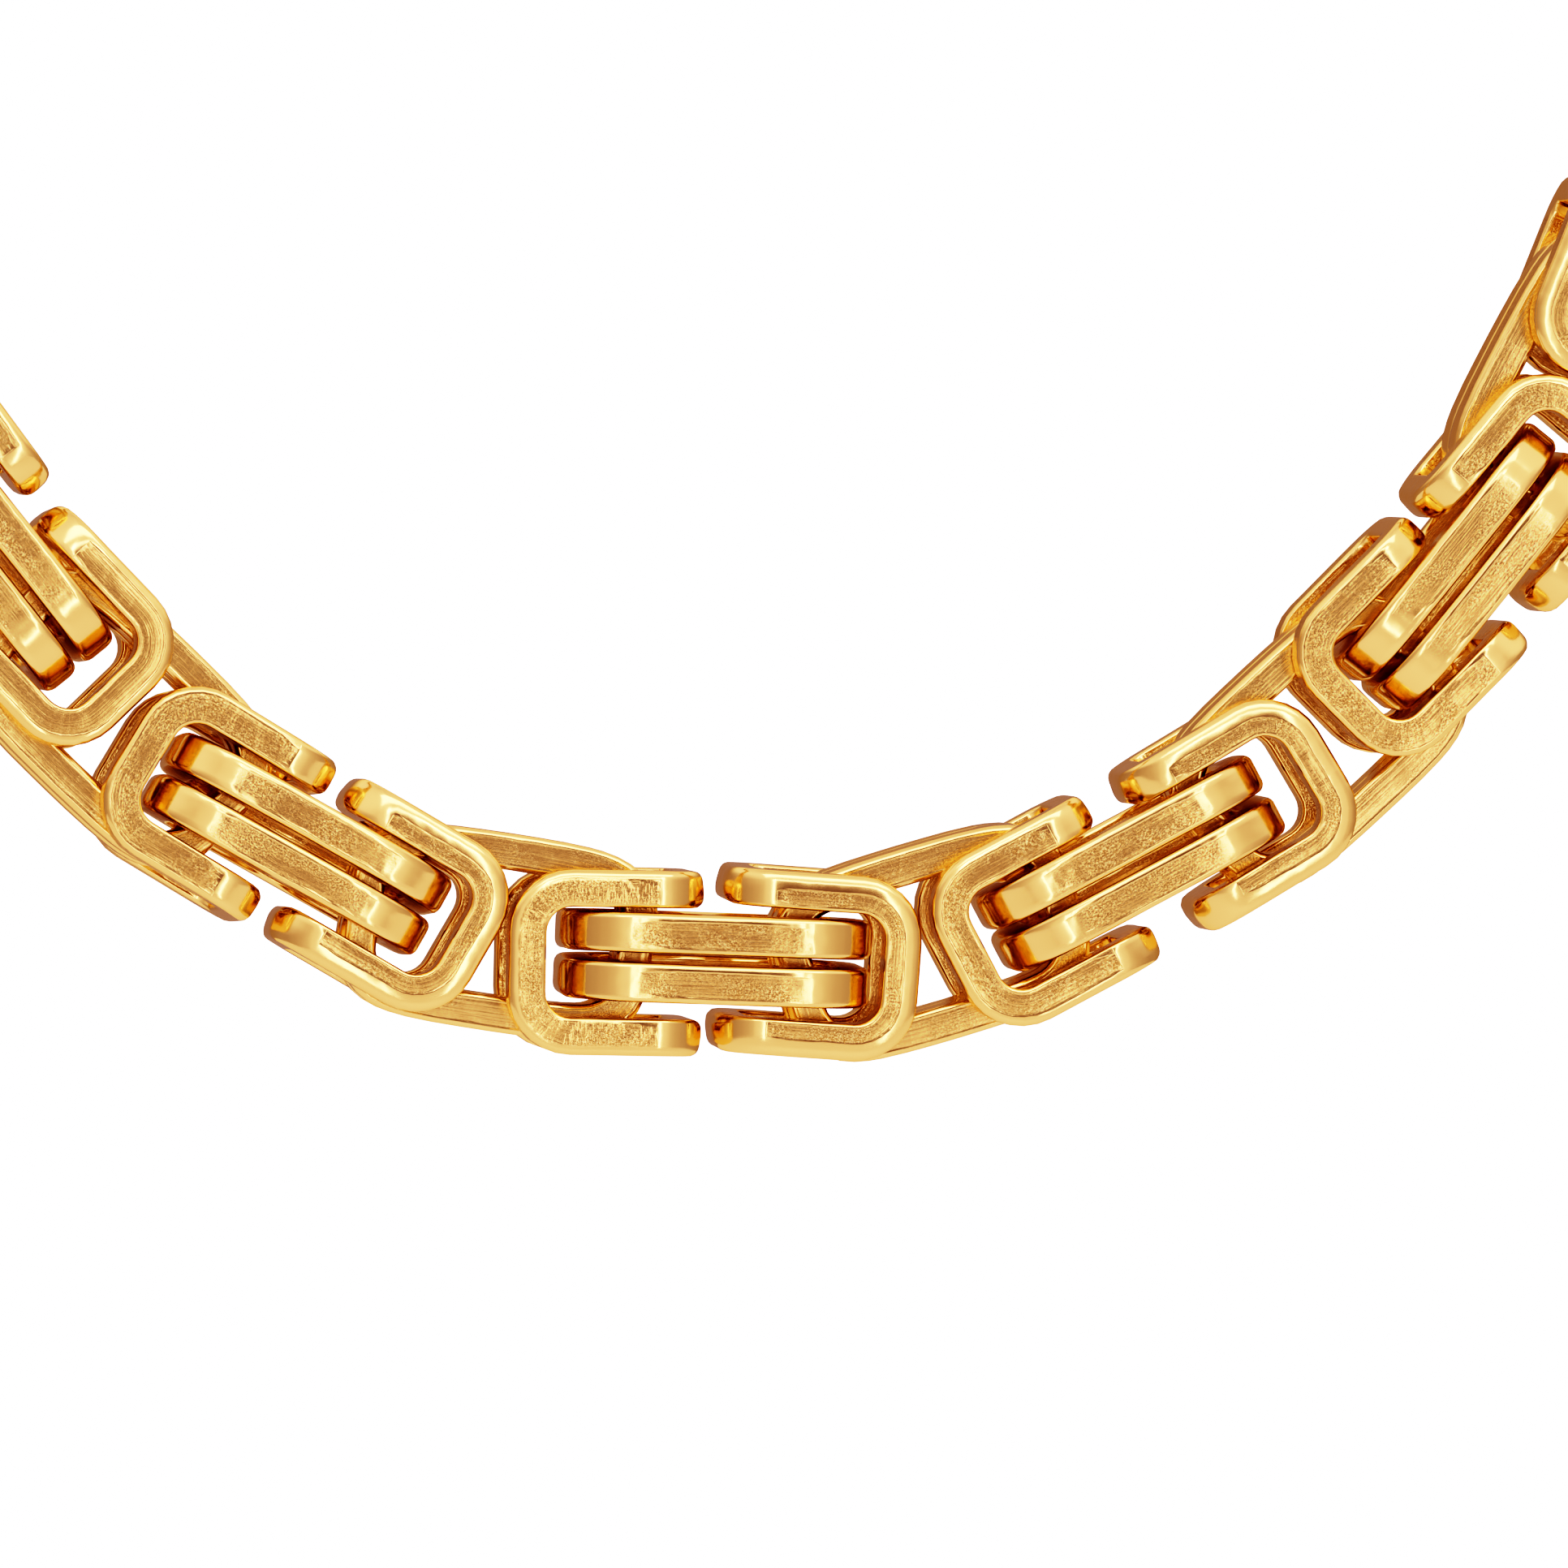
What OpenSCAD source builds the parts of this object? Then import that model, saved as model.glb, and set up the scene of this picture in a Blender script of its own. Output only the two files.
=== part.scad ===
// Byzantine neck chain: a whole loop of flat links, as it hangs round a neck.
// Millimetres. +Z is up, -Y is the front. The origin is at the nape, where the neck carries the chain.

/* [Flat ring, used for the centre and the side links] */
// Outer length of a ring
ring_length = 15.9; // [12:0.1:22]
// Outer width of a ring
ring_width = 10.1; // [8:0.1:13]
// Width of the ring's bar, seen on its flat face
ring_bar = 1.85; // [1.5:0.05:2.5]
// Thickness of the ring's plate
ring_thick = 2.05; // [1.5:0.05:2.4]
// Outer radius of the ring's corners
ring_corner = 3.2; // [2.6:0.1:4]

/* [Pairs] */
// Gap between the two centre links of a station, at the middle of their width
centre_gap = 0.3; // [0.3:0.05:0.8]
// Share of that gap by which they gape at the front and close at the back
centre_gape = 0.55; // [0:0.05:0.65]
// Gap between the two side links of a pair
side_gap = 0.2; // [0.15:0.05:0.4]
// Free length where a centre pair and a side pair hook into each other
hook_slack = 1.12; // [0.8:0.01:1.6]

/* [Folded link] */
// Length of a folded link, from its spine to its tips
fold_length = 10.1; // [9:0.1:12]
// Thickness of each of its two halves
fold_thick = 2.05; // [1.5:0.05:2.4]
// Width of its spine, seen from the front
fold_spine = 2.0; // [1.4:0.02:2.4]
// Width of its two arms, seen from the front
fold_arm = 1.85; // [1.4:0.05:2.4]
// Wall left at its tips, where the two halves join
fold_tip = 1.7; // [1.4:0.1:2.2]
// Outer radius of its corners at the spine
fold_corner = 3.2; // [2.4:0.1:4]
// Radius of the corners of its opening
fold_inner_corner = 0.9; // [0.6:0.1:1.8]
// Outer radius of the bend at its tips
fold_bend = 2.5; // [1.5:0.1:3.2]
// Clear height on each side of the centre pair, inside its opening
centre_clear = 0.65; // [0.6:0.05:1]
// Clear depth on each side of the side pair, inside its fold
fold_clear = 0.25; // [0.2:0.05:0.5]
// Clear length between a centre link's end and the spine
end_clear = 0.75; // [0.5:0.05:1.2]

/* [Clasp] */
// Length of the clasp
clasp_length = 26; // [20:1:40]
// Length of the eye at each end of the clasp
clasp_eye = 5; // [4:0.1:7]
// How much closer than elsewhere the folded links sit to the clasp
clasp_draw = 0.3; // [0:0.1:0.5]

/* [Loop] */
// Stations on each side of the one at the front
side_stations = 9; // [8:1:12]
// Radius of the low front of the loop
front_radius = 43.6; // [38:0.1:60]
// Turn of the low front on each side, in degrees
front_turn = 45; // [35:1:60]
// Radius of the flatter stretch above it
flank_radius = 80; // [60:1:120]
// Height above the lowest link where the loop starts to lean back over the shoulder
drape_start = 42; // [40:1:60]
// Radius of that lean
drape_radius = 60; // [50:1:90]
// Angle of the lean, in degrees
drape_angle = 70; // [40:1:80]

/* [Hidden] */
$fn = 48;

// How the links of the photographed front lie, as small shifts from the even route. Places are in
// pitches from the front, lengths in mm, turns in degrees. Every other link lies evenly.
// Centre pairs: [place, along, inward, turn, roll]
centre_lie = [
    [-2, -0.3, -0.3, 2, -2],
    [-1, -0.4, -0.2, 1, -3],
    [0, -0.2, 0.2, -1, 0],
    [1, -0.2, 0, 0, -1],
    [2, 0.7, 0.1, 0, 0],
    [3, 0.3, 0.4, 1, 0],
];
// Side pairs: [place, along, inward, turn, roll]
side_lie = [
    [-1.5, -0.3, -0.7, 1, -4],
    [-0.5, -0.3, -0.2, 7, -1],
    [0.5, -0.2, -0.2, 3, 0],
    [1.5, 0.1, -0.5, 0, -1],
    [2.5, 0.9, 0.3, 3, 0],
    [3.5, 0.3, -0.3, 0, 0],
];
// Folded links: [place, side of the station, further out, inward, turn]
fold_lie = [
    [-2, -1, 0.3, -0.1, 0],
    [-2, 1, 0.1, -0.1, 7],
    [-1, -1, 0, -0.4, -1],
    [-1, 1, -0.2, -0.3, 0],
    [0, -1, 0.3, -0.1, 0],
    [0, 1, -0.7, 0, -3],
    [1, -1, 0.3, -0.2, 0],
    [1, 1, 0.6, -0.1, 3],
    [2, -1, -1, 0.2, -6],
    [2, 1, 0.8, -0.2, -1],
    [3, -1, -0.6, 0.6, 1],
    [3, 1, 0.3, 0.3, 0],
    [4, -1, -0.1, 0, 0],
];
// Elsewhere a side pair lies this far outward, where the pull of the bent loop sets it
side_rest = -0.35;

pitch = 2 * (ring_length - 2 * ring_bar - hook_slack);
centre_height = 2 * ring_thick + centre_gap;
side_depth = 2 * ring_thick + side_gap;
fold_open = centre_height + 2 * centre_clear;
fold_slot = side_depth + 2 * fold_clear;
fold_height = fold_open + 2 * fold_arm;
fold_depth = fold_slot + 2 * fold_thick;
fold_reach = ring_length / 2 + end_clear + fold_spine - fold_length / 2;
clasp_reach = fold_reach + (clasp_length - ring_length) / 2 - clasp_draw;
// How far a cut runs past what it cuts
past = 1;

// The loop laid out flat: four stretches on each side, from the front to the nape
arc = 180 / PI;
back_radius = front_radius * sin(front_turn) + flank_radius * (1 - sin(front_turn));
front_end = front_radius * front_turn / arc;
flank_end = front_end + flank_radius * (90 - front_turn) / arc;
half_loop = side_stations * pitch + pitch / 2 + clasp_length / 2 + pitch / 2 - ring_length / 2;
back_start = half_loop - back_radius * 90 / arc;
flank_low = front_radius * (1 - cos(front_turn));
straight_low = flank_low + flank_radius * cos(front_turn);
back_low = straight_low + back_start - flank_end;

// Flat route: distance from the front -> [x, height, heading]
function route(s) =
    s < 0 ? let (r = route(-s)) [-r[0], r[1], -r[2]] :
    s <= front_end ? let (a = s / front_radius * arc)
        [front_radius * sin(a), front_radius * (1 - cos(a)), a] :
    s <= flank_end ? let (a = front_turn + (s - front_end) / flank_radius * arc)
        [back_radius - flank_radius * (1 - sin(a)),
         flank_low + flank_radius * (cos(front_turn) - cos(a)), a] :
    s <= back_start ? [back_radius, straight_low + s - flank_end, 90] :
    let (a = (s - back_start) / back_radius * arc)
        [back_radius * cos(a), back_low + back_radius * sin(a), 90 + a];

// Lean of the loop at a height along it, and the point there: [y, z]
drape_length = drape_radius * drape_angle / arc;
function lean(h) = h < drape_start ? 0 : min((h - drape_start) / drape_radius * arc, drape_angle);
function draped(h) =
    h < drape_start ? [0, h] :
    let (a = lean(h), rest = max(0, h - drape_start - drape_length))
        [drape_radius * (1 - cos(a)) + rest * sin(a),
         drape_start + drape_radius * sin(a) + rest * cos(a)];

// The clasp is straight, so it sits this much inside the top of the curved route
clasp_shift = 0.9;
// The nape: the inner side of the clasp, at the top of the loop
nape = draped(back_low + back_radius - clasp_shift - centre_height / 2);

// A table's row for a place, or the row for a link that lies evenly
function row(table, key, even) =
    let (found = [for (r = table) if (r[0] == key) r]) len(found) > 0 ? found[0] : even;
function fold_row(place, side) =
    let (found = [for (r = fold_lie) if (r[0] == place && r[1] == side) r])
        len(found) > 0 ? found[0] : [place, side, 0, 0, 0];

// Flat place of a link: shifts from the route, then [x, height, heading]
function shifted(s, along, inward, turn) =
    let (r = route(s))
        [r[0] + along * cos(r[2]) - inward * sin(r[2]),
         r[1] + along * sin(r[2]) + inward * cos(r[2]), r[2] + turn];

module on_loop(flat) {
    p = draped(flat[1]);
    translate([flat[0], p[0] - nape[0], p[1] - nape[1]]) rotate([-lean(flat[1]), 0, 0]) children();
}

module rounded_rect(length, width, radius) {
    square([length - 2 * radius, width], center = true);
    square([length, width - 2 * radius], center = true);
    for (x = [-1, 1], y = [-1, 1])
        translate([x * (length / 2 - radius), y * (width / 2 - radius)]) circle(radius);
}

// One stamped ring, lying flat in X and Y
module flat_ring() {
    linear_extrude(ring_thick, center = true)
        difference() {
            rounded_rect(ring_length, ring_width, ring_corner);
            rounded_rect(ring_length - 2 * ring_bar, ring_width - 2 * ring_bar, ring_corner - ring_bar);
        }
}

// Two rings one over the other, seen edge on from the front, where they gape
module centre_pair() {
    gape = asin(centre_gape * centre_gap / ring_width);
    for (side = [-1, 1])
        translate([0, 0, side * (ring_thick + centre_gap) / 2]) rotate([-side * gape, 0, 0])
            flat_ring();
}

// Two rings one behind the other, seen face on from the front
module side_pair() {
    for (side = [-1, 1])
        translate([0, side * (ring_thick + side_gap) / 2, 0]) rotate([90, 0, 0]) flat_ring();
}

// The folded link's front view: a C whose spine starts at x = 0
module fold_front() {
    difference() {
        translate([fold_length, 0]) rounded_rect(2 * fold_length, fold_height, fold_corner);
        translate([fold_spine + fold_length, 0])
            rounded_rect(2 * fold_length, fold_open, fold_inner_corner);
    }
}

// The folded link's view from above: a U whose bend is at the tips
module fold_side() {
    difference() {
        rounded_rect(2 * fold_length, fold_depth, fold_bend);
        square([2 * (fold_length - fold_tip), fold_slot], center = true);
    }
}

// A folded link with its spine towards +X, or -X for side = -1, centred on its length
module folded_link(side) {
    rotate([0, side > 0 ? 180 : 0, 0]) translate([-fold_length / 2, 0, 0])
        intersection() {
            rotate([90, 0, 0]) linear_extrude(fold_depth + past, center = true) fold_front();
            linear_extrude(fold_height + past, center = true) fold_side();
            translate([0, -fold_depth, -fold_height])
                cube([fold_length, 2 * fold_depth, 2 * fold_height]);
        }
}

module centre_unit(place) {
    r = row(centre_lie, place, [place, 0, 0, 0, 0]);
    flat = shifted(place * pitch, r[1], r[2], r[3]);
    color([0.86, 0.62, 0.2]) on_loop(flat) rotate([0, -flat[2], 0]) rotate([r[4], 0, 0])
        centre_pair();
}

// Flat place of a folded link: at a station, or at an end of the clasp
function fold_place(place, side) =
    abs(place) > side_stations ?
        let (r = route(half_loop), away = sign(place) * clasp_reach)
            [away, r[1] - clasp_shift, 180 * sign(place)] :
        let (r = fold_row(place, side))
            shifted(place * pitch, side * (fold_reach + r[2]), r[3], r[4]);

// A side pair and the two folded links that it lies in
module side_unit(place) {
    r = row(side_lie, place, [place, 0, side_rest, 0, 0]);
    flat = shifted(place * pitch, r[1], r[2], r[3]);
    color([0.9, 0.68, 0.26]) on_loop(flat) rotate([0, -flat[2], 0]) rotate([r[4], 0, 0]) {
        side_pair();
        rotate([0, flat[2], 0]) for (side = [-1, 1]) {
            f = fold_place(place + side / 2, -side);
            translate([f[0] - flat[0], 0, f[1] - flat[1]]) rotate([0, -f[2], 0]) folded_link(-side);
        }
    }
}

module chain_right() {
    for (k = [0 : side_stations]) {
        centre_unit(k);
        side_unit(k + 0.5);
    }
}

module chain_left() {
    for (k = [-side_stations : 0]) {
        if (k < 0) centre_unit(k);
        side_unit(k - 0.5);
    }
}

// One plain block with an eye at each end
module clasp() {
    top = route(half_loop)[1] - clasp_shift;
    eye_middle = clasp_length / 2 - ring_bar - clasp_eye / 2;
    color([0.88, 0.65, 0.24]) on_loop([0, top, 0])
        linear_extrude(centre_height, center = true)
            difference() {
                rounded_rect(clasp_length, ring_width, ring_corner);
                for (side = [-1, 1]) translate([side * eye_middle, 0])
                    rounded_rect(clasp_eye, ring_width - 2 * ring_bar, ring_corner - ring_bar);
            }
}

chain_right();
chain_left();
clasp();
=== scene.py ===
# %% [markdown]
# # A byzantine neck chain
# The chain is a whole loop of three kinds of link. At each station a pair of flat rings lies edge on
# to the front, and two folded links hold it by its ends. Between stations a pair of the same rings
# stands face on, inside the folds. Every link is one stamped piece of metal under a gold finish, so
# the lesson is about sweeping one section round a path, and about a finish that is grained on the
# flats and polished on the rolls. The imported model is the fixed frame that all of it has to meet.

# %% Frame
import math

import bmesh
import bpy
from mathutils import Matrix, Vector, noise


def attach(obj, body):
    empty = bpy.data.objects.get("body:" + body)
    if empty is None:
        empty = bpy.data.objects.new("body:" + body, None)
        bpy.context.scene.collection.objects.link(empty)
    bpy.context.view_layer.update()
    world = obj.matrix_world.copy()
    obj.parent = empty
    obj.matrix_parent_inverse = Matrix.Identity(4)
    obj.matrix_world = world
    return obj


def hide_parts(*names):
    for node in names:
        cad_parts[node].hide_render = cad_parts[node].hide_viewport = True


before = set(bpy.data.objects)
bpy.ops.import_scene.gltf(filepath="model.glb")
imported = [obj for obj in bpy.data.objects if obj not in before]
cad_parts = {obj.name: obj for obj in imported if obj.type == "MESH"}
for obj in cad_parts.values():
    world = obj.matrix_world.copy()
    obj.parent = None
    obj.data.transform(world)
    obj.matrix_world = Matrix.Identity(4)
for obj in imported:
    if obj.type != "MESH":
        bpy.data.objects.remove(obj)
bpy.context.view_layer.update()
MM = 0.001
print("the frame's nodes:", sorted(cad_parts))

# %% [markdown]
# The real sizes come first, as a maker would write them on a drawing. The ring serves twice, as the
# centre link and as the side link. The folded link is a ring too, bent double over its middle: its
# front view is a C, and its view from above is a U.

# %% Sizes of the links
ring_length = 15.9 * MM
ring_width = 10.1 * MM
ring_bar = 1.85 * MM
ring_thick = 2.05 * MM
ring_corner = 3.2 * MM
centre_gap = 0.3 * MM
centre_gape = 0.55
side_gap = 0.2 * MM
hook_slack = 1.12 * MM
fold_length = 10.1 * MM
fold_thick = 2.05 * MM
fold_bar = 1.88 * MM
fold_tip = 1.7 * MM
fold_corner = 3.2 * MM
fold_bend = 2.5 * MM
fold_height = 9.4 * MM
fold_depth = 8.9 * MM
fold_spine = 2.0 * MM
end_clear = 0.75 * MM
clasp_length = 26 * MM
clasp_draw = 0.3 * MM
clasp_shift = 0.9 * MM
side_stations = 9
side_rest = -0.35
pitch = 2 * (ring_length - 2 * ring_bar - hook_slack)
centre_height = 2 * ring_thick + centre_gap
fold_reach = ring_length / 2 + end_clear + fold_spine - fold_length / 2
clasp_reach = fold_reach + (clasp_length - ring_length) / 2 - clasp_draw
print(f"a station is {pitch / MM:.2f} mm long")

# %% [markdown]
# Laid out flat, the loop is a low bow at the front, a flatter flank, a straight stretch and a round
# back, mirrored on the other side. Worn, it leans back over the shoulders from a certain height. Two
# short functions say this, so that a link at any distance from the front finds its own place.

# %% The route of the loop
front_radius = 43.6 * MM
front_turn = math.radians(45)
flank_radius = 80 * MM
drape_start = 42 * MM
drape_radius = 60 * MM
drape_angle = math.radians(70)

back_radius = front_radius * math.sin(front_turn) + flank_radius * (1 - math.sin(front_turn))
front_end = front_radius * front_turn
flank_end = front_end + flank_radius * (math.pi / 2 - front_turn)
half_loop = side_stations * pitch + pitch + clasp_length / 2 - ring_length / 2
back_start = half_loop - back_radius * math.pi / 2
flank_low = front_radius * (1 - math.cos(front_turn))
straight_low = flank_low + flank_radius * math.cos(front_turn)
back_low = straight_low + back_start - flank_end


def route(s):
    """Flat place at a distance from the front: x, height and heading."""
    if s < 0:
        x, height, heading = route(-s)
        return -x, height, -heading
    if s <= front_end:
        a = s / front_radius
        return front_radius * math.sin(a), front_radius * (1 - math.cos(a)), a
    if s <= flank_end:
        a = front_turn + (s - front_end) / flank_radius
        rise = flank_radius * (math.cos(front_turn) - math.cos(a))
        return back_radius - flank_radius * (1 - math.sin(a)), flank_low + rise, a
    if s <= back_start:
        return back_radius, straight_low + s - flank_end, math.pi / 2
    a = (s - back_start) / back_radius
    return back_radius * math.cos(a), back_low + back_radius * math.sin(a), math.pi / 2 + a


def lean(height):
    """How far the worn loop leans back at a height of the flat one."""
    return min(max(height - drape_start, 0) / drape_radius, drape_angle)


def draped(height):
    """Depth and height of the worn loop, for a height on the flat one."""
    a = lean(height)
    rest = max(0, height - drape_start - drape_radius * drape_angle)
    depth = drape_radius * (1 - math.cos(a)) + rest * math.sin(a)
    low = min(height, drape_start)
    return depth, low + drape_radius * math.sin(a) + rest * math.cos(a)


nape = draped(back_low + back_radius - clasp_shift - centre_height / 2)
print(f"the whole loop is {2 * half_loop / MM:.0f} mm long")

# %% [markdown]
# A real chain never hangs quite evenly. These small shifts, in tenths of a millimetre and whole
# degrees, are read from the front of the loop. Each row starts with the link's place, counted
# in stations.

# %% How the front links lie
CENTRE_LIE = {  # place: along, inward, turn, roll
    -2: (-0.3, -0.3, 2, -2),
    -1: (-0.4, -0.2, 1, -3),
    0: (-0.2, 0.2, -1, 0),
    1: (-0.2, 0, 0, -1),
    2: (0.7, 0.1, 0, 0),
    3: (0.3, 0.4, 1, 0),
}
SIDE_LIE = {  # place: along, inward, turn, roll
    -1.5: (-0.3, -0.7, 1, -4),
    -0.5: (-0.3, -0.2, 7, -1),
    0.5: (-0.2, -0.2, 3, 0),
    1.5: (0.1, -0.5, 0, -1),
    2.5: (0.9, 0.3, 3, 0),
    3.5: (0.3, -0.3, 0, 0),
}
FOLD_LIE = {  # station and side of it: further out, inward, turn
    (-2, -1): (0.3, -0.1, 0),
    (-2, 1): (0.1, -0.1, 7),
    (-1, -1): (0, -0.4, -1),
    (-1, 1): (-0.2, -0.3, 0),
    (0, -1): (0.3, -0.1, 0),
    (0, 1): (-0.7, 0, -3),
    (1, -1): (0.3, -0.2, 0),
    (1, 1): (0.6, -0.1, 3),
    (2, -1): (-1, 0.2, -6),
    (2, 1): (0.8, -0.2, -1),
    (3, -1): (-0.6, 0.6, 1),
    (3, 1): (0.3, 0.3, 0),
    (4, -1): (-0.1, 0, 0),
}


def shifted(s, along, inward, turn):
    """A link's flat place: shifts from the route, then x, height and heading."""
    x, height, heading = route(s)
    c, n = math.cos(heading), math.sin(heading)
    along, inward = along * MM, inward * MM
    return x + along * c - inward * n, height + along * n + inward * c, heading + math.radians(turn)


def turned(angle, axis="Y"):
    return Matrix.Rotation(angle, 4, axis)


def on_loop(x, height):
    """The matrix that takes a link from its own centre to its place on the worn loop."""
    depth, up = draped(height)
    return Matrix.Translation((x, depth - nape[0], up - nape[1])) @ turned(-lean(height), "X")


# %% [markdown]
# Now the places of all the links. A centre pair follows the route. A side pair may roll about its own
# length, and it carries with it the two folded links that it lies in, which take their headings from
# their own stations. A folded link's spine points away from its centre pair.

# %% Places of the links
def centre_places(place):
    """The two rings of a centre pair, one over the other, gaping a little at the front."""
    along, inward, turn, roll = CENTRE_LIE.get(place, (0, 0, 0, 0))
    x, height, heading = shifted(place * pitch, along, inward, turn)
    unit = on_loop(x, height) @ turned(-heading) @ turned(math.radians(roll), "X")
    rise = (ring_thick + centre_gap) / 2
    gape = math.asin(centre_gape * centre_gap / ring_width)
    return [unit @ Matrix.Translation((0, 0, side * rise)) @ turned(-side * gape, "X")
            for side in (-1, 1)]


def side_unit(place):
    """The matrix of a side pair, and its flat place."""
    along, inward, turn, roll = SIDE_LIE.get(place, (0, side_rest, 0, 0))
    x, height, heading = shifted(place * pitch, along, inward, turn)
    unit = on_loop(x, height) @ turned(-heading) @ turned(math.radians(roll), "X")
    return unit, (x, height, heading)


def side_places(place):
    """The two rings of a side pair, one behind the other."""
    unit, _ = side_unit(place)
    depth = (ring_thick + side_gap) / 2
    stand = turned(math.pi / 2, "X")
    return [unit @ Matrix.Translation((0, side * depth, 0)) @ stand for side in (-1, 1)]


def fold_place(station, side):
    """Flat place of a folded link, at a station or at an end of the clasp."""
    if abs(station) > side_stations:
        away = math.copysign(1, station)
        return away * clasp_reach, route(half_loop)[1] - clasp_shift, math.pi * away
    out, inward, turn = FOLD_LIE.get((station, side), (0, 0, 0))
    return shifted(station * pitch, side * (fold_reach / MM + out), inward, turn)


def fold_places(place):
    """The two folded links of a side pair, each with its station and side."""
    unit, (x, height, heading) = side_unit(place)
    found = []
    for side in (-1, 1):
        station = round(place + side / 2)
        fx, fheight, fheading = fold_place(station, -side)
        at = unit @ turned(heading) @ Matrix.Translation((fx - x, 0, fheight - height))
        face = turned(math.pi if side < 0 else 0)
        found.append(((station, -side), at @ turned(-fheading) @ face))
    return found


# %% [markdown]
# Each link is one section carried round a closed path. The section starts as a plain rectangle. Its
# four corners are bevelled into rolls, as tumbling leaves them, and its flats are cut a few times so
# that they can carry a slight crown, which starts a quarter of the way out. A strip four crowns wide
# along the outer edge is polished. Every point of the section keeps two numbers for the finish: how
# far inside the flat it lies, and how far round the section it is.

# %% The section of a bar
ROLL_STEPS = 3
FLAT_CUTS = 5
crown_start = 0.25
polish_reach = 4.0


def round_the_section(bm):
    """The section's points in order, starting in the middle of the inner side."""
    start = min(bm.verts, key=lambda v: (round(v.co.x, 7), abs(v.co.y)))
    order, edge = [start], start.link_edges[0]
    while len(order) < len(bm.verts):
        order.append(edge.other_vert(order[-1]))
        edge = next(e for e in order[-1].link_edges if e is not edge)
    return order


def bar_section(bm, width, thick, rolls, crown):
    """A bar's section in X and Y: +X is the outer side, +Y the face that shows."""
    corners = bmesh.ops.create_grid(bm, x_segments=1, y_segments=1, size=0.5)["verts"]
    bmesh.ops.scale(bm, vec=(width, thick, 1), verts=corners)
    for corner in corners:
        roll = rolls[0 if corner.co.x > 0 and corner.co.y > 0 else 1]
        bmesh.ops.bevel(bm, geom=[corner], offset=roll, offset_type="OFFSET", affect="VERTICES",
                        segments=ROLL_STEPS, profile=0.5, material=-1)
    bmesh.ops.delete(bm, geom=bm.faces[:], context="FACES_ONLY")
    flats = [e for e in bm.edges if e.calc_length() > 2 * max(rolls)]
    bmesh.ops.subdivide_edges(bm, edges=flats, cuts=FLAT_CUTS)
    inside = bm.verts.layers.float.new("inside")
    girth = bm.verts.layers.float.new("girth")
    run = bm.verts.layers.float.new("run")
    order, gone = round_the_section(bm), 0.0
    for k, v in enumerate(order):
        if k:
            gone += (v.co - order[k - 1].co).length
        roll = rolls[0 if v.co.x > 0 and v.co.y > 0 else 1]
        v[girth], v[run] = gone / MM, 0.0
        v[inside] = (width / 2 - abs(v.co.x) + thick / 2 - abs(v.co.y) - roll) / MM
    border, roll = width / 2 - polish_reach * crown, max(rolls)
    for v in bm.verts:
        if v.co.y > thick / 2 - roll:
            v[inside] = min(v[inside], (border - v.co.x) / MM)
        if v.co.y > 0:
            share = max(0, v.co.x / width + 0.5 - crown_start) / (1 - crown_start)
            v.co.y -= crown * share**2 * v.co.y / (thick / 2)
    return bm.edges[:]


# %% [markdown]
# A spin with an angle turns the section round a corner, and a spin with a shift but no angle carries
# it straight on, so one small function does both. It writes the distance gone into each new point,
# and the finish follows that distance as a grain follows the bar. At the end the last section meets
# the first, and the doubled points are merged.

# %% Carrying a section round a path
def carry(bm, edges, moves):
    """Sweeps the section's edges through the moves: (steps, shift, centre, axis, angle)."""
    run = bm.verts.layers.float["run"]
    for steps, shift, centre, axis, angle in moves:
        reach = abs(angle) * centre[3] if angle else Vector(shift).length
        for _ in range(steps):
            made = bmesh.ops.spin(bm, geom=edges, cent=centre[:3], axis=axis, angle=angle / steps,
                                  dvec=Vector(shift) / steps, steps=1, use_merge=False)
            edges = [g for g in made["geom_last"] if isinstance(g, bmesh.types.BMEdge)]
            for v in {v for e in edges for v in e.verts}:
                v[run] += reach / steps / MM
    bmesh.ops.remove_doubles(bm, verts=bm.verts[:], dist=0.002 * MM)
    bmesh.ops.recalc_face_normals(bm, faces=bm.faces[:])


def straight(steps, x=0, y=0, z=0):
    return steps, (x, y, z), (0, 0, 0, 0), (0, 0, 1), 0


def corner(steps, centre, axis, degrees, radius):
    return steps, (0, 0, 0), (*centre, radius), axis, math.radians(degrees)


def flow_map(bm):
    """Turns the two distances into a UV map in millimetres, whole across both seams."""
    run, girth = bm.verts.layers.float["run"], bm.verts.layers.float["girth"]
    flow = bm.loops.layers.uv.new("flow")
    ends = [max(v[layer] for v in bm.verts) for layer in (run, girth)]
    for face in bm.faces:
        for axis, layer in enumerate((run, girth)):
            values = [loop.vert[layer] for loop in face.loops]
            seam = max(values) - min(values) > ends[axis] / 2
            for loop, value in zip(face.loops, values):
                wrapped = value + ends[axis] if seam and value < ends[axis] / 2 else value
                loop[flow].uv[axis] = wrapped
    bm.verts.layers.float.remove(bm.verts.layers.float["run"])
    bm.verts.layers.float.remove(bm.verts.layers.float["girth"])


def finished(bm, name):
    mesh = bpy.data.meshes.new(name)
    bm.to_mesh(mesh)
    bm.free()
    print(f"{name}: {len(mesh.vertices)} points, {2 * len(mesh.polygons)} triangles")
    return mesh


# %% [markdown]
# The ring: two long bars and two short ones, with four round corners. Before the corners begin, the
# bars already fall away a little, which is what gives each end of a bar its bright band. The plate
# grows thinner at the very ends, where the stamping rounds it off.

# %% The ring
ring_roll = 0.27 * MM
ring_crown = 0.05 * MM
ring_ease = 4.3 * MM
ring_fall = 0.2 * MM
fall_early = 0.8 * MM
fall_length = 2.4 * MM
ring_bow = 5.0
flat_fade = 0.1
end_round = 0.5 * MM
end_blunt = 0.8


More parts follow.
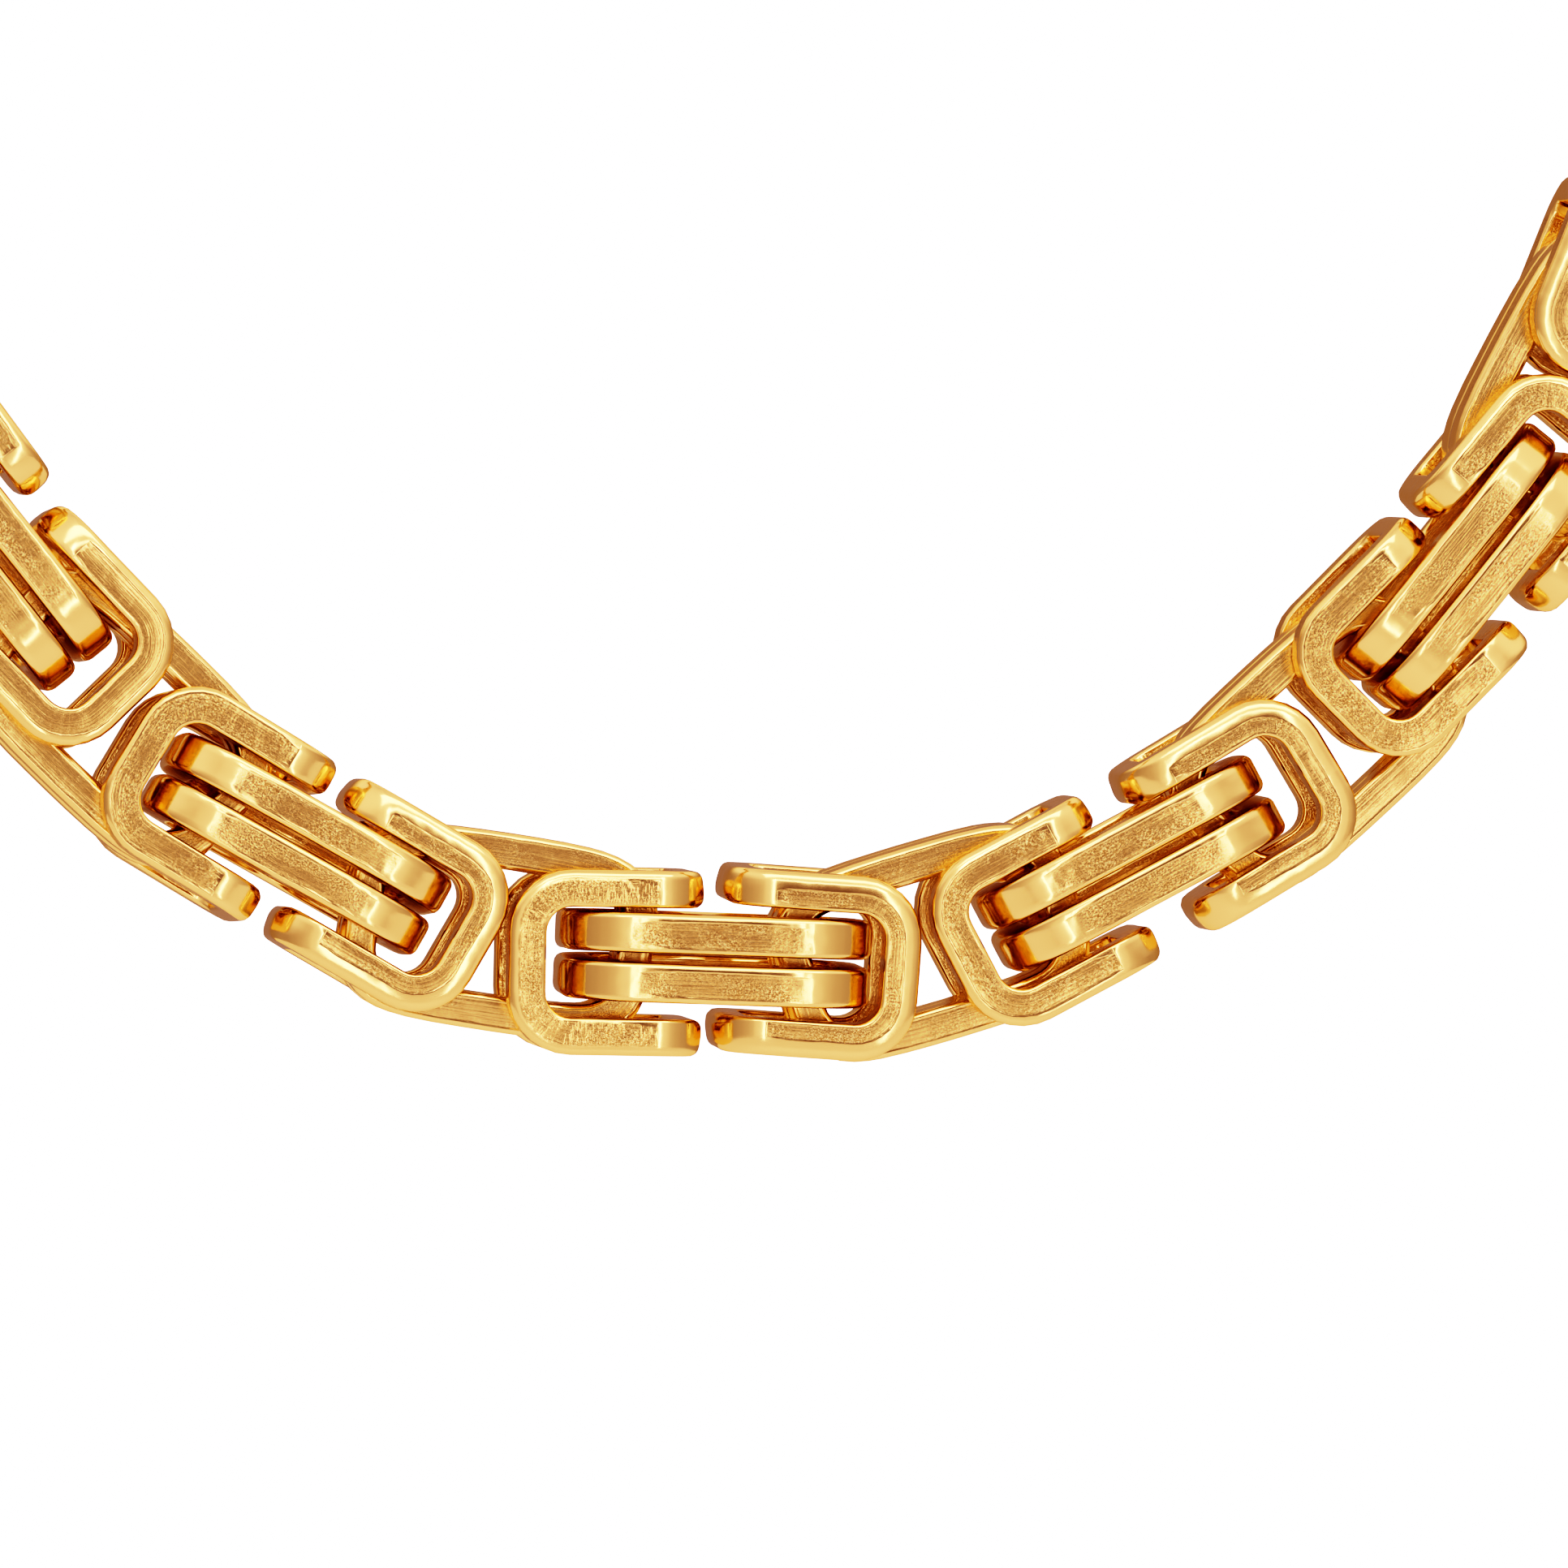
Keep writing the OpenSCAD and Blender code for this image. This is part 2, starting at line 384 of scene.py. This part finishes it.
def rounding(left, radius, width):
    """Share of a bar's width that stays, where so much length is left to its rounded end."""
    gone = min(max(0, 1 - left / radius), 1)
    return 1 - end_blunt * 2 * radius / width * (1 - math.sqrt(1 - gone**2))


def ring_link(name):
    bm = bmesh.new()
    edges = bar_section(bm, ring_bar, ring_thick, (ring_roll, ring_roll), ring_crown)
    x, y = ring_length / 2 - ring_corner, ring_width / 2 - ring_corner
    middle = ring_corner - ring_bar / 2
    start = Matrix.Translation((0, ring_width / 2 - ring_bar / 2, 0))
    upright = Matrix(((0, 0, 1, 0), (1, 0, 0, 0), (0, 1, 0, 0), (0, 0, 0, 1)))
    bmesh.ops.transform(bm, matrix=start @ upright, verts=bm.verts[:])
    up, easing = (0, 0, 1), ring_ease - 0.2 * MM
    carry(bm, edges, [
        straight(3, x=easing), straight(4, x=x - easing),
        corner(7, (x, y, 0), up, -90, middle),
        straight(3, y=-2 * y),
        corner(7, (x, -y, 0), up, -90, middle),
        straight(4, x=easing - x), straight(6, x=-2 * easing), straight(4, x=easing - x),
        corner(7, (-x, -y, 0), up, -90, middle),
        straight(3, y=2 * y),
        corner(7, (-x, y, 0), up, -90, middle),
        straight(4, x=x - easing), straight(3, x=easing),
    ])
    inside, girth = bm.verts.layers.float["inside"], bm.verts.layers.float["girth"]
    half_girth = (ring_bar + ring_thick - (4 - math.pi) * ring_roll) / MM
    for v in bm.verts:
        if abs(v[girth] - half_girth) < ring_thick / MM / 2:
            v[inside] = min(v[inside], flat_fade * (ring_ease - abs(v.co.x)) / MM)
        past = min(max(0, abs(v.co.x) - ring_ease + fall_early) / fall_length, 1)
        bow = ring_bow * min(abs(v.co.x), ring_ease) ** 2
        v.co.y -= math.copysign(bow + ring_fall * past**2 * (3 - 2 * past), v.co.y)
        v.co.z *= rounding(ring_length / 2 - abs(v.co.x), end_round, ring_thick)
    flow_map(bm)
    return finished(bm, name)


ring_mesh = ring_link("ring")

# %% [markdown]
# The folded link: the section climbs half the spine, goes round the front C to a tip, bends back
# through the depth of the link, goes round the back C, and so on home. Its outer edge is rolled more
# than its inner one. The walls at the tips are drawn thinner by the bend and rounded at their ends,
# and take that last. Three are made, from nearly flat faces to well crowned ones.

# %% The folded link
fold_rolls = (0.3 * MM, 0.18 * MM)
tip_round = 0.7 * MM


def folded_link(name, crown):
    bm = bmesh.new()
    edges = bar_section(bm, fold_bar, fold_thick, fold_rolls, crown)
    tip, high = fold_length - fold_bend, fold_height / 2 - fold_corner
    front, deep = fold_depth / 2, fold_depth / 2 - fold_bend
    start = Matrix.Translation((fold_bar / 2, -front + fold_thick / 2, 0))
    facing = Matrix(((-1, 0, 0, 0), (0, -1, 0, 0), (0, 0, 1, 0), (0, 0, 0, 1)))
    bmesh.ops.transform(bm, matrix=start @ facing, verts=bm.verts[:])
    across, up = (0, 1, 0), (0, 0, 1)
    middle, bend = fold_corner - fold_bar / 2, fold_bend - fold_thick / 2

    def half(side, face):
        """From the middle of a spine, round a corner, along an arm and over the tip's bend."""
        turn = side * 90
        return [
            straight(2, z=side * high),
            corner(7, (fold_corner, 0, side * high), across, turn, middle),
            straight(4, x=tip - fold_corner),
            corner(6, (tip, face * deep, 0), up, -face * 90, bend),
            straight(3, y=-face * 2 * deep),
        ]

    def back(side, face):
        """The same way home."""
        turn = side * 90
        return [
            corner(6, (tip, face * deep, 0), up, face * 90, bend),
            straight(4, x=fold_corner - tip),
            corner(7, (fold_corner, 0, side * high), across, -turn, middle),
            straight(2, z=-side * high),
        ]

    carry(bm, edges, half(1, -1) + back(1, 1) + half(-1, 1) + back(-1, -1))
    arm = (fold_height - fold_bar) / 2
    for v in bm.verts:
        past, beside = v.co.x - tip, max(0, abs(v.co.y) - deep)
        if past > 0:
            reach = math.hypot(past, beside)
            share = (fold_bend - reach) / fold_thick * past / reach
            v.co.x += share * (fold_thick - fold_tip)
            middle = math.copysign(arm, v.co.z)
            v.co.z = middle + (v.co.z - middle) * rounding(fold_length - v.co.x, tip_round, fold_bar)
    inside = bm.verts.layers.float["inside"]
    for v in bm.verts:
        v[inside] = min(v[inside], (tip - v.co.x) / MM)
    bmesh.ops.translate(bm, vec=(-fold_length / 2, 0, 0), verts=bm.verts[:])
    flow_map(bm)
    return finished(bm, name)


fold_meshes = [folded_link(f"fold_{k}", crown * MM) for k, crown in enumerate((0.05, 0.12, 0.22))]

# %% [markdown]
# The links are then laid in their places, all of one kind and side in one piece. Each link brings its
# own few numbers: a seed, how strong its grain is and how strong its chatter marks are. The table
# gives the folded links near the front their looks, and tips some of them by up to a degree. The side
# rings all lean forward by a degree and a half. A slight unevenness, a hundredth of a millimetre or
# so, breaks up the reflections as on real stampings. Its noise is seeded, so that every run makes the
# same chain.

# %% Laying the links
FOLD_FINISH = {  # station and side of it: mesh, grain, chatter, tip up
    (-2, -1): (1, 0.5, 0.1, 0),
    (-2, 1): (1, 0.3, 0.1, 0.5),
    (-1, -1): (0, 0.8, 0.3, -0.5),
    (-1, 1): (2, 0.8, 0.1, 0.5),
    (0, -1): (1, 1.0, 1.0, -0.5),
    (0, 1): (2, 0.9, 0.15, -0.7),
    (1, -1): (1, 0.9, 0.1, 1),
    (1, 1): (2, 1.0, 0.2, 0),
    (2, -1): (0, 0.9, 0.3, -1),
    (2, 1): (1, 0.9, 0.2, 0),
}
side_tip = math.radians(1.5)
unevenness = 0.012 * MM
uneven_size = 2.6 * MM
noise.seed_set(7)


def lay_links(name, links, material, node):
    """Joins copies of the meshes at their places into one piece that replaces the node."""
    bm = bmesh.new()
    for seed, (mesh, matrix, grain, chatter) in enumerate(links):
        first = len(bm.verts)
        bm.from_mesh(mesh)
        bm.verts.ensure_lookup_table()
        new = bm.verts[first:]
        traits = bm.verts.layers.float_vector.get("traits")
        if traits is None:
            traits = bm.verts.layers.float_vector.new("traits")
            new = bm.verts[first:]
        own = Vector(((0.37 + seed * 0.731) % 1, grain, chatter))
        shift = Vector((seed * 7.13, seed * 3.77, seed * 5.31))
        for v in new:
            v[traits] = own
            v.co += noise.noise_vector(v.co / uneven_size + shift) * unevenness
        bmesh.ops.transform(bm, matrix=matrix, verts=new)
    mesh = bpy.data.meshes.new(name)
    bm.to_mesh(mesh)
    bm.free()
    mesh.shade_smooth()
    piece = bpy.data.objects.new(name, mesh)
    bpy.context.scene.collection.objects.link(piece)
    mesh.materials.append(material)
    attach(piece, "root")
    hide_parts(node)
    print(f"{name}: {len(links)} links, {2 * len(mesh.polygons)} triangles")


# %% [markdown]
# Shader maths reads best as plain sums, so one small class wraps a socket and turns sums into Math
# nodes. Its other methods make any node at all, and the few kinds that the finishes share.

# %% Sums on sockets
class Wire:
    """An output socket of a node tree. Sums on it add Math nodes."""

    def __init__(self, tree, socket=None):
        self.tree = tree
        self.socket = socket

    def node(self, kind, settings=None, inputs=None, out=0):
        made = self.tree.nodes.new(kind)
        for name, value in (settings or {}).items():
            setattr(made, name, value)
        for name, value in (inputs or {}).items():
            if isinstance(value, Wire):
                self.tree.links.new(value.socket, made.inputs[name])
            else:
                made.inputs[name].default_value = value
        return Wire(self.tree, made.outputs[out] if made.outputs else None)

    def math(self, operation, *values):
        return self.node("ShaderNodeMath", {"operation": operation}, dict(enumerate(values)))

    def __add__(self, other):
        return self.math("ADD", self, other)

    def __sub__(self, other):
        return self.math("SUBTRACT", self, other)

    def __rsub__(self, other):
        return self.math("SUBTRACT", other, self)

    def __mul__(self, other):
        return self.math("MULTIPLY", self, other)

    def __truediv__(self, other):
        return self.math("DIVIDE", self, other)

    __radd__ = __add__
    __rmul__ = __mul__

    def step(self, low, high, to_low=0.0, to_high=1.0):
        """A smooth rise from to_low to to_high as the value goes from low to high."""
        settings = {"interpolation_type": "SMOOTHSTEP"}
        return self.node("ShaderNodeMapRange", settings,
                         {"Value": self, "From Min": low, "From Max": high,
                          "To Min": to_low, "To Max": to_high})

    def ramp(self, stops):
        """A curve through stops of (degrees of a half turn, value), for a share of a half turn."""
        made = self.node("ShaderNodeValToRGB", None, {"Fac": self})
        line = self.tree.nodes[-1].color_ramp
        line.interpolation = "EASE"
        while len(line.elements) < len(stops):
            line.elements.new(0.5)
        for element, (degrees, value) in zip(line.elements, stops):
            element.position, element.color = degrees / 180, (value, value, value, 1)
        return made

    def attribute(self, name, out="Fac"):
        return self.node("ShaderNodeAttribute", {"attribute_name": name}, out=out)

    def noise(self, vector, scale, detail=2.0, rough=0.5):
        return self.node("ShaderNodeTexNoise", {"noise_dimensions": "3D"},
                         {"Vector": vector, "Scale": scale, "Detail": detail, "Roughness": rough})

    def vector(self, x=0.0, y=0.0, z=0.0):
        return self.node("ShaderNodeCombineXYZ", None, {"X": x, "Y": y, "Z": z})

    def part(self, axis):
        return self.node("ShaderNodeSeparateXYZ", None, {"Vector": self}, out=axis)

    def mixed(self, factor, first, second):
        """A colour between two others."""
        made = self.tree.nodes.new("ShaderNodeMix")
        made.data_type = "RGBA"
        for index, value in ((0, factor), (6, first), (7, second)):
            if isinstance(value, Wire):
                self.tree.links.new(value.socket, made.inputs[index])
            else:
                made.inputs[index].default_value = value
        return Wire(self.tree, made.outputs[2])


def bare_material(name):
    """A new material with no nodes, and a wire to build them with."""
    material = bpy.data.materials.new(name)
    material.use_nodes = True
    material.node_tree.nodes.clear()
    return material, Wire(material.node_tree)


# %% [markdown]
# The finish is a rich gold over steel. On the flats the stamping's grain still shows, as a patchy fine
# sparkle and light brushing along the bar, with chatter marks across a few of them. The sparkle is
# bumped, and it is also painted into the colour: a painted glint on each speck and painted shade in
# each pit. The rolls, bends and ends are tumbled bright. The border between the two is a tiny step,
# which catches the light.

# %% The gold of the links
# The pit colour is painted shade in the grain's pits, and the spark colour is a painted glint on its
# specks.
GOLD_FLAT = (0.87, 0.66, 0.3, 1)
GOLD_PIT_PAINTED_SHADE = (0.5, 0.34, 0.12, 1)
GOLD_PAINTED_GLINT = (1, 0.84, 0.44, 1)
GOLD_BRIGHT = (0.94, 0.74, 0.35, 1)
GOLD_EDGE = (1, 0.88, 0.62, 1)
grain_height = 0.014
brush_height = 0.01
chatter_height = 0.09
step_height = 0.04
wave_height = 0.03
rough_bright = 0.15
rough_flat = 0.23


def link_gold(name):
    material, wire = bare_material(name)
    flow = wire.node("ShaderNodeUVMap", {"uv_map": "flow"})
    run, girth = flow.part(0), flow.part(1)
    traits = wire.attribute("traits", out="Vector")
    seed, grain, chatter = traits.part(0) * 40, traits.part(1), traits.part(2)
    inside = wire.attribute("inside")

    blotch = wire.noise(wire.vector(run, girth, seed), 0.5, 2.0)
    flat = (inside + (blotch - 0.5) * 0.2).step(-0.06, 0.1)
    fine = wire.noise(wire.vector(run * 0.7, girth, seed), 6.5, 3.0, 0.7)
    brush = wire.noise(wire.vector(run * 0.25, girth * 9, seed), 1.0, 2.0)
    marks = wire.noise(wire.vector(run * 2.4, girth * 0.8, seed), 1.0, 2.0, 0.6)
    patch = wire.noise(wire.vector(run, girth, seed + 9), 0.45, 1.0).step(0.3, 0.5)
    wave = wire.noise(wire.vector(run * 0.8, girth * 0.8, seed), 1.0, 1.0)
    cloud = wire.noise(wire.vector(run * 0.6, girth, seed + 5), 0.8, 2.0)
    grain = grain * cloud.step(0.35, 0.65, 0.3, 1.4)

    height = flat * (fine * grain * grain_height + brush * brush_height - step_height)
    height = height + flat * marks * patch * chatter * chatter_height + wave * wave_height
    bump = wire.node("ShaderNodeBump", None, {"Strength": 1.0, "Distance": MM, "Height": height})

    # The speckle is painted light: a painted glint on the bright specks and painted shade in the dark
    # pits of the grain.
    painted_glint_and_shade = wire.noise(wire.vector(run * 0.8, girth, seed + 3), 11.0, 2.0, 0.8)
    grain_and_painted_glint = wire.mixed(painted_glint_and_shade.step(0.38, 0.66), GOLD_PIT_PAINTED_SHADE, GOLD_PAINTED_GLINT)
    colour = wire.mixed(flat, GOLD_BRIGHT, wire.mixed(grain * 0.7, GOLD_FLAT, grain_and_painted_glint))
    rough = flat * (rough_flat - rough_bright) + rough_bright + (fine - 0.5) * 0.05
    shader = wire.node("ShaderNodeBsdfPrincipled", None, {
        "Base Color": colour, "Metallic": 1.0, "Roughness": rough, "Normal": bump,
        "Specular Tint": GOLD_EDGE})
    wire.node("ShaderNodeOutputMaterial", None, {"Surface": shader})
    return material


links_gold = link_gold("links_gold")

# %% [markdown]
# Six pieces hold all the links: centre rings, side rings and folded links, on the right and on the
# left. The station at the front belongs to the right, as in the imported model.

# %% The six pieces of chain
def fold_row(key):
    return FOLD_FINISH.get(key, ((2 * sum(key) + 1) % len(fold_meshes), 0.85, 0.15, 0))


def chain_side(word, node, stations, side_places_at):
    rings = [m for k in stations for m in centre_places(k)]
    lay_links(f"centre_rings_{word}", [(ring_mesh, m, 1.0, 0.0) for m in rings], links_gold, node)
    rings = [m @ turned(side_tip, "X") for k in side_places_at for m in side_places(k)]
    lay_links(f"side_rings_{word}", [(ring_mesh, m, 0.5, 0.1) for m in rings], links_gold, node)
    folds = []
    for place in side_places_at:
        for key, matrix in fold_places(place):
            pick, grain, chatter, tip_up = fold_row(key)
            tipped = matrix @ turned(math.radians(tip_up * key[1]), "X")
            folds.append((fold_meshes[pick], tipped, grain, chatter))
    lay_links(f"folded_links_{word}", folds, links_gold, node)


right = range(0, side_stations + 1)
chain_side("right", "chain_right", right, [k + 0.5 for k in right])
left = range(-side_stations, 0)
chain_side("left", "chain_left", left, [k - 0.5 for k in range(-side_stations, 1)])

# %% [markdown]
# The clasp at the nape is one plain block with an eye at each end. Its shape is right in the packed
# model apart from its sharp edges, so a copy is merged, cleared of needless edges and bevelled.

# %% The clasp
clasp_roll = 0.35 * MM


def clasp_gold(name):
    material, wire = bare_material(name)
    at = wire.node("ShaderNodeTexCoord", out="Object")
    x, y, z = (at.part(k) / MM for k in range(3))
    brush = wire.noise(wire.vector(x * 0.3, y * 8, z * 8), 1.0, 3.0)
    fine = wire.noise(wire.vector(x, y, z), 7.0, 3.0, 0.6)
    height = brush * 0.006 + fine * 0.006
    bump = wire.node("ShaderNodeBump", None, {"Strength": 1.0, "Distance": MM, "Height": height})
    colour = wire.mixed(fine, GOLD_BRIGHT, GOLD_FLAT)
    shader = wire.node("ShaderNodeBsdfPrincipled", None, {
        "Base Color": colour, "Metallic": 1.0, "Roughness": 0.2 + brush * 0.1, "Normal": bump})
    wire.node("ShaderNodeOutputMaterial", None, {"Surface": shader})
    return material


def softened_clasp():
    bm = bmesh.new()
    bm.from_mesh(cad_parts["clasp"].data)
    bmesh.ops.remove_doubles(bm, verts=bm.verts[:], dist=0.001 * MM)
    bmesh.ops.dissolve_limit(bm, angle_limit=math.radians(1), verts=bm.verts[:], edges=bm.edges[:])
    rims = [e for e in bm.edges if e.is_manifold and e.calc_face_angle() > math.radians(50)]
    bmesh.ops.bevel(bm, geom=rims, offset=clasp_roll, offset_type="OFFSET", affect="EDGES",
                    segments=4, profile=0.5, material=-1)
    bmesh.ops.triangulate(bm, faces=bm.faces[:])
    bmesh.ops.recalc_face_normals(bm, faces=bm.faces[:])
    mesh = finished(bm, "clasp_soft")
    mesh.shade_smooth()
    piece = bpy.data.objects.new("clasp_soft", mesh)
    bpy.context.scene.collection.objects.link(piece)
    mesh.materials.append(clasp_gold("clasp_gold"))
    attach(piece, "root")
    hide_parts("clasp")


softened_clasp()

# %% [markdown]
# The studio is plain: white all round for the camera, a pale floor well below, two narrow lit strips
# to the left and right of the camera, and a strip and a box above it. Gold shows what surrounds it.
# So the room is dim behind the camera, brightest just to either side of it, and dim again beyond,
# which gives the flats their deep tone and each bend one bright band.

# %% The studio
def soft_box(name, azimuth, elevation, width, height, radiance, distance=0.6):
    """An area light round the front of the chain. Azimuth 0 is in front of it, 90 on its right."""
    a, e = math.radians(azimuth), math.radians(elevation)
    light = bpy.data.lights.new(name, "AREA")
    light.shape, light.size, light.size_y = "RECTANGLE", width, height
    light.energy = radiance * math.pi * width * height
    lamp = bpy.data.objects.new(name, light)
    away = Vector((math.sin(a) * math.cos(e), -math.cos(a) * math.cos(e), math.sin(e)))
    lamp.location = front_middle + away * distance
    lamp.rotation_euler = away.to_track_quat("Z", "Y").to_euler()
    lamp.visible_camera = False
    bpy.context.scene.collection.objects.link(lamp)


front_middle = Vector((3.3 * MM, -86 * MM, -106.25 * MM))
WHITE = 4.0
facing = 6
soft_box("left_strip", facing - 13, 2, 0.03, 0.5, 7)
soft_box("right_strip", facing + 13, 2, 0.03, 0.5, 7)
soft_box("top_strip", facing, 22, 0.3, 0.04, 5)
soft_box("top_box", facing, 45, 0.6, 0.25, 2.8)

ROOM_SIDES = (  # degrees to either side of the front, share of white
    (0, 0.4), (7, 0.42), (15, 0.54), (24, 0.5), (34, 0.37), (48, 0.31), (64, 0.27), (86, 0.23),
    (105, 0.23), (140, 0.2), (180, 0.18),
)
OVERHEAD = (  # degrees up from straight down, how far the light overhead takes over
    (0, 0), (100, 0), (125, 1), (180, 0.6),
)
overhead_share = 0.6
near_dim = 0.85
NEAR_SIDES = (4, 15)  # degrees to either side of the front, over which the dimming ends
NEAR_HEIGHTS = (85.7, 89.5)  # degrees up from straight down, over which it sets in


def studio_world():
    world = bpy.data.worlds.new("studio")
    bpy.context.scene.world = world
    world.use_nodes = True
    tree = world.node_tree
    tree.nodes.clear()
    wire = Wire(tree)
    seen = wire.node("ShaderNodeLightPath", out="Is Camera Ray")
    toward = wire.node("ShaderNodeTexCoord", out="Generated")
    toward = wire.node("ShaderNodeVectorRotate", {"rotation_type": "Z_AXIS"},
                       {"Vector": toward, "Angle": math.radians(-facing)})
    around = wire.math("ARCTAN2", toward.part(0), toward.part(1) * -1)
    sides = (wire.math("ABSOLUTE", around) / math.pi).ramp(ROOM_SIDES)
    height = wire.math("ARCSINE", toward.part(2)) / math.pi + 0.5
    over = height.ramp(OVERHEAD)
    near = wire.math("ABSOLUTE", around).step(*(math.radians(a) for a in NEAR_SIDES), 1, 0)
    sides = sides * (1 - near * height.step(*(a / 180 for a in NEAR_HEIGHTS)) * near_dim)
    light = (sides + (overhead_share - sides) * over) * WHITE
    room = wire.node("ShaderNodeBackground", None, {"Color": (1, 0.94, 0.86, 1), "Strength": light})
    white = wire.node("ShaderNodeBackground", None, {"Color": (1, 1, 1, 1), "Strength": WHITE})
    shader = wire.node("ShaderNodeMixShader", None, {0: seen, 1: room, 2: white})
    wire.node("ShaderNodeOutputWorld", None, {"Surface": shader})


def floor_paint():
    material = bpy.data.materials.new("floor_paint")
    material.use_nodes = True
    shader = material.node_tree.nodes["Principled BSDF"]
    shader.inputs["Base Color"].default_value = (0.9, 0.9, 0.89, 1)
    shader.inputs["Roughness"].default_value = 0.8
    return material


def pale_floor(radius, height):
    bm = bmesh.new()
    bmesh.ops.create_circle(bm, cap_ends=True, segments=64, radius=radius)
    bmesh.ops.translate(bm, vec=(0, 0, height), verts=bm.verts[:])
    mesh = finished(bm, "floor")
    mesh.materials.append(floor_paint())
    floor = bpy.data.objects.new("floor", mesh)
    bpy.context.scene.collection.objects.link(floor)


studio_world()
pale_floor(1.2, -0.45)

# %% [markdown]
# The camera stands almost level, a little to the left of the front, far enough away to flatten the
# loop as a long lens does. It is rolled by a little over a degree, as far as the chain hangs off
# level. A tone curve ends the picture as a camera does, with a soft shoulder for each colour.

# %% The camera
camera_side = math.radians(-6.5)
camera_rise = math.radians(1.4)
camera_distance = 0.7
camera_roll = math.radians(1.3)
frame_width = 80 * MM
lens = bpy.data.cameras.new("camera")
camera = bpy.data.objects.new("camera", lens)
bpy.context.scene.collection.objects.link(camera)
away = Vector((math.sin(camera_side) * math.cos(camera_rise),
               -math.cos(camera_side) * math.cos(camera_rise), math.sin(camera_rise)))
camera.location = front_middle + away * camera_distance
camera.rotation_euler = (away.to_track_quat("Z", "Y").to_matrix().to_4x4()
                         @ Matrix.Rotation(camera_roll, 4, "Z")).to_euler()
lens.lens = lens.sensor_width * camera_distance / frame_width
lens.clip_start, lens.clip_end = 0.01, 10
bpy.context.scene.camera = camera

shoulder = 1.3
TOES = (2.0, 3.0, 2.8)
CURVE_SHARES = (0.02, 0.04, 0.07, 0.11, 0.17, 0.25, 0.35, 0.5, 0.7)


def tone_curve(settings):
    """A camera's soft shoulder and toe, so that gold turns pale only where it is brightest."""
    settings.view_transform = "Standard"
    settings.use_curve_mapping = True
    curves = settings.curve_mapping
    curves.white_level = (WHITE, WHITE, WHITE)
    for line, toe in zip(curves.curves, TOES):
        for share in CURVE_SHARES:
            line.points.new(share, (1 - math.exp(-shoulder * WHITE * share)) ** toe)
    curves.update()


tone_curve(bpy.context.scene.view_settings)
